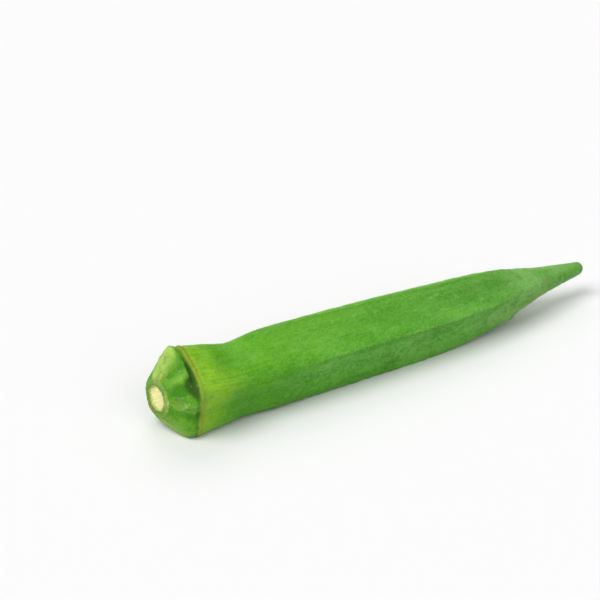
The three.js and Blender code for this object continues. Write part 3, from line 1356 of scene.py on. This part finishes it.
@dataclass(frozen=True)
class CutFace:
    """The cut through the stem, with the pith dished and its fibres standing a little proud."""

    form: PodForm
    bed: Bed
    finish: PithFinish = PithFinish()
    columns: int = 250
    rings: int = 44
    fibre_height: float = 0.07
    torn_middle: float = 0.45
    torn_half_width: float = 0.35
    ridge_middle: float = 0.68
    ridge_half_width: float = 0.1
    rim: Span = (0.85, 1.0)
    map_margin: float = 0.02

    def build(self) -> bpy.types.Object:
        """Builds the cut face up to the skin's first row.

        Returns:
            The piece.
        """
        share = np.linspace(0, 1, self.rings + 1)[1:]
        out, direction = np.meshgrid(share, self.form.crests.columns(self.columns), indexing="ij")
        cut = self.form.cut
        at = self.form.spots(np.full(out.shape, cut.station), direction)
        places = self.form.place(at, out)
        y, z = places[..., 1], places[..., 2]
        torn = Ripples(21, (0.55, 0.9))(y, z) * bell((out - self.torn_middle) / self.torn_half_width)
        ridge = Ripples(22, (0.35, 0.35))(y, z) * bell((out - self.ridge_middle) / self.ridge_half_width)
        places[..., 0] += cut.depth(out) - cut.station
        places[..., 0] += self.fibre_height * (torn + ridge) * (1 - rise(*self.rim, out))
        middle = self.form.place(self.form.spots(np.full(1, cut.station), direction[0, :1]), 0.0)
        middle[..., 0] += cut.depth(np.zeros(1)) - cut.station
        points = np.concatenate([places.reshape(-1, 3), middle])
        quads = np.roll(sheet(self.rings, self.columns)[0][:, ::-1], 1, axis=1)
        faces = np.concatenate([quads, fan(0, self.columns, self.rings * self.columns)])
        flat = points[:, 1:] - points[:, 1:].min(0)
        flat = self.map_margin + (1 - 2 * self.map_margin) * flat / flat.max()
        piece = make_piece("cut_face", self.bed.lay(points), faces, flat[faces])
        mark(piece, "out", np.append(out.ravel(), 0.0))
        mark(piece, "mealy", np.append(self.mealy(at).ravel(), 0.0))
        settle(piece, self.finish.material())
        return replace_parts(piece, NODE)

    def mealy(self, at: Spots) -> Array:
        """Where the bark of the cut is dry and pale: at its near side and at its top."""
        return at.beside(172, 0.5) + 0.6 * at.beside(84, 0.5)


@dataclass(frozen=True)
class Hairs:
    """Short stiff hairs over the skin, thickest along the crests and leaning to the tip."""

    form: PodForm
    bed: Bed
    finish: HairFinish = HairFinish()
    count: int = 7000
    seed: int = 5
    shortest: float = 0.22
    longest: float = 0.62
    lean: Span = (0.2, 0.9)
    sway: float = 0.25
    half_width: float = 0.018
    taper: float = 0.6
    root_depth: float = 0.06
    clear_of_surface: float = 0.9
    lower_share: float = 0.55
    upper_share: float = 0.5
    step: float = 0.25
    map_margin: float = 0.02

    def roots(self) -> Spots:
        """Seeded places of the hairs.

        Returns:
            The places, fewer where the pod is slim and on its faces.
        """
        draw = np.random.default_rng(self.seed)
        station = draw.uniform(1.2, self.form.length - 0.8, self.count * 3)
        direction = draw.uniform(0, 2 * math.pi, self.count * 3)
        crest = self.form.crest_radius(station)
        wanted = crest / 10.3 * (0.35 + 0.65 * self.form.crests.near(direction, 1.6 / crest))
        kept = draw.uniform(0, 1, wanted.size) < wanted
        return self.form.spots(station[kept][: self.count], direction[kept][: self.count])

    def normals(self, at: Spots) -> tuple[Array, Array, Array]:
        """Points on the skin, with their outward and tipward directions.

        Args:
            at: Places of the hairs.

        Returns:
            The points, the outward and the tipward unit vectors.
        """
        form = self.form
        here = form.place(at)
        onward = np.minimum(at.station + self.step, form.length - 0.01)
        tipward = form.place(form.spots(onward, at.direction)) - here
        round_it = form.place(form.spots(at.station, at.direction + self.step / 9)) - here
        return here, unit(np.cross(round_it, tipward)), unit(tipward)

    def build(self) -> bpy.types.Object:
        """Builds the hairs as bent three-sided spines with their roots in the skin.

        Returns:
            The piece.
        """
        here, outward, tipward = self.normals(self.roots())
        clear = here[:, 2] > self.clear_of_surface
        here, outward, tipward = here[clear], outward[clear], tipward[clear]
        draw = np.random.default_rng(self.seed + 1)
        count = len(here)
        length = draw.uniform(self.shortest, self.longest, (count, 1))
        lean = draw.uniform(*self.lean, (count, 1))
        sway = draw.normal(0, self.sway, (count, 3))
        way = unit(outward + lean * tipward + sway)
        side = unit(np.cross(way, outward + 0.37 * sway + 1e-3))
        other = np.cross(way, side)
        root = here - self.root_depth * outward
        half = root + way * length * self.lower_share
        point = half + unit(way + 0.5 * tipward) * length * self.upper_share
        rings = []
        for centre, width in ((root, self.half_width), (half, self.half_width * self.taper)):
            for angle in (0.0, 2 * math.pi / 3, 4 * math.pi / 3):
                rings.append(centre + width * (math.cos(angle) * side + math.sin(angle) * other))
        points = np.stack([*rings, point], axis=1).reshape(-1, 3)
        sides = [[0, 1, 4, 3], [1, 2, 5, 4], [2, 0, 3, 5], [3, 4, 6, 6], [4, 5, 6, 6], [5, 3, 6, 6]]
        faces = (np.arange(count)[:, None, None] * 7 + np.array(sides)[None]).reshape(-1, 4)
        tipped = np.tile([0, 0, 0, 0.5, 0.5, 0.5, 1.0], count)
        corners = np.stack([tipped, np.repeat(np.arange(count) / count, 7)], -1)
        corners = self.map_margin + (1 - 2 * self.map_margin) * corners
        piece = make_piece("hairs", self.bed.lay(points), faces, corners[faces])
        mark(piece, "tipward", tipped)
        return settle(piece, self.finish.material())


# ---- Studio ----


@dataclass(frozen=True)
class Lamp:
    """A broad distant light: bearing and height in degrees, watts per square metre, width in degrees."""

    name: str
    azimuth: float
    elevation: float
    strength: float
    width: float


@dataclass(frozen=True)
class Studio:
    """The pale floor, the soft lights and the camera."""

    azimuth: float = -32.624
    elevation: float = 29.0
    distance: float = 0.4576
    aside: float = -0.018417
    above: float = 0.005928
    level: float = 0.0085
    lens: float = 120.25
    sensor: float = 36.0
    clip: Span = (0.02, 20.0)
    lamps: tuple[Lamp, ...] = (
        Lamp("key", -88.0, 55.0, 2.45, 38.0),
        Lamp("fill", 0.0, 38.0, 0.75, 50.0),
        Lamp("rim", 150.0, 48.0, 0.72, 44.0),
    )
    lamp_distance: float = 0.9
    floor_half: float = 4.0
    floor_drop: float = 0.00003
    world: float = 0.3

    def back(self, azimuth: float, elevation: float) -> Vector:
        """Unit vector from the pod towards a place round it, by its angles in degrees."""
        a, e = math.radians(azimuth), math.radians(elevation)
        return Vector((math.sin(a) * math.cos(e), -math.cos(a) * math.cos(e), math.sin(e)))

    def stand(self, name: str, data: bpy.types.ID, place: Vector, back: Vector) -> bpy.types.Object:
        """Stands a camera or a light in the scene.

        Args:
            name: Its name.
            data: What it is.
            place: Where it stands, in metres.
            back: The way from what it faces to it.

        Returns:
            The object.
        """
        thing = bpy.data.objects.new(name, data)
        thing.location = place
        thing.rotation_mode = "QUATERNION"
        thing.rotation_quaternion = (-back).to_track_quat("-Z", "Y")
        bpy.context.scene.collection.objects.link(thing)
        return thing

    def camera(self) -> None:
        """Sets the camera at its angle."""
        back = self.back(self.azimuth, self.elevation)
        right = self.back(self.azimuth + 90.0, 0.0)
        aim = Vector((0.0, 0.0, self.level)) + self.aside * right + self.above * back.cross(right)
        lens = bpy.data.cameras.new("camera")
        lens.lens, lens.sensor_width = self.lens, self.sensor
        lens.clip_start, lens.clip_end = self.clip
        bpy.context.scene.camera = self.stand("camera", lens, aim + back * self.distance, back)

    def light(self, lamp: Lamp) -> None:
        """Sets a light, which falls as evenly on the floor as on the pod.

        Args:
            lamp: Its kind and place.
        """
        sun = bpy.data.lights.new(lamp.name, "SUN")
        sun.energy, sun.angle = lamp.strength, math.radians(lamp.width)
        back = self.back(lamp.azimuth, lamp.elevation)
        self.stand(lamp.name, sun, back * self.lamp_distance, back)

    def floor(self) -> None:
        """Lays the pale floor."""
        corners = np.array([(-1, -1, 0), (1, -1, 0), (1, 1, 0), (-1, 1, 0)]) * self.floor_half
        floor = make_piece("studio_floor", corners - (0, 0, self.floor_drop), np.array([[0, 1, 2, 3]]))
        floor.data.materials.append(FloorFinish().material())

    def set_up(self) -> None:
        """Sets out the floor, the lights, the even light all round and the camera."""
        self.floor()
        for lamp in self.lamps:
            self.light(lamp)
        world = bpy.data.worlds.new("studio")
        world.use_nodes = True
        background = world.node_tree.nodes["Background"]
        background.inputs[0].default_value = (1.0, 1.0, 1.0, 1.0)
        background.inputs[1].default_value = self.world
        bpy.context.scene.world = world
        bpy.context.scene.view_settings.view_transform = "Standard"
        self.camera()


def main() -> None:
    """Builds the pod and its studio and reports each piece."""
    logging.basicConfig(level=logging.INFO, format="%(message)s")
    report = logging.getLogger("okra")
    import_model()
    form = PodForm()
    bed = Bed.under(form)
    for sub_assembly in (Skin(form, bed), CutFace(form, bed), Hairs(form, bed)):
        piece = sub_assembly.build()
        report.info("%s: %d points, %d faces", piece.name, len(piece.data.vertices), len(piece.data.polygons))
    Studio().set_up()


if __name__ == "__main__":
    main()
